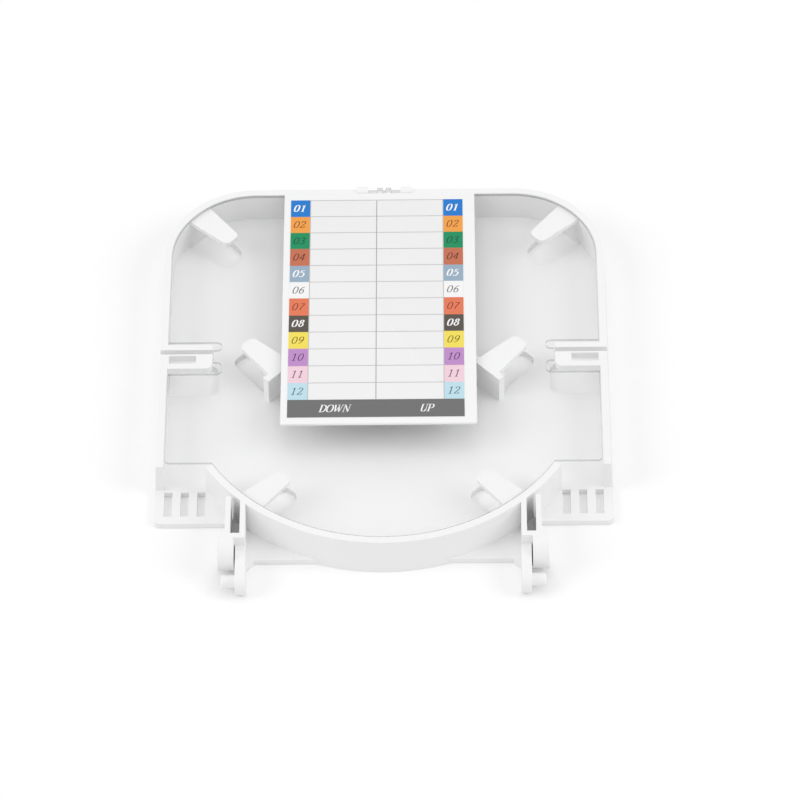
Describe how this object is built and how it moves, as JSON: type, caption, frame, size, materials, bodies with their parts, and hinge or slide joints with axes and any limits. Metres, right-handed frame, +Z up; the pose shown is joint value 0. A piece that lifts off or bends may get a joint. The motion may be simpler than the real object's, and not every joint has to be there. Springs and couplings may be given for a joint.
{
  "type": "fibre splice tray",
  "caption": "White moulded fibre splice tray with bend-radius walls, splice combs, pivot pins at the front and a clear hinged cover that carries a numbered label.",
  "frame": {"origin": "centre of the round front wall, on the underside of the floor", "axes": "+X to the right, +Y towards the cover hinge at the rear, +Z up through the floor"},
  "size_m": [0.1498, 0.167, 0.0154],
  "materials": {
    "tray_plastic": "fine satin moulding",
    "comb_plastic": "satin moulding",
    "clear_plastic": "clear polished sheet",
    "card_plastic": "satin sheet",
    "label_film": "printed matt film"
  },
  "bodies": {
    "tray": {"tray_body": "tray_plastic", "splice_comb_left": "comb_plastic", "splice_comb_right": "comb_plastic"},
    "cover": {"clear_cover": "clear_plastic", "label_card": "card_plastic", "label_sheet": "label_film"}
  },
  "joints": [
    {"name": "cover_hinge", "type": "hinge", "parent": "tray", "child": "cover", "pos_m": [0, 0.0848, 0.0134], "axis": [-1, 0, 0], "range_deg": [0, 120]}
  ]
}
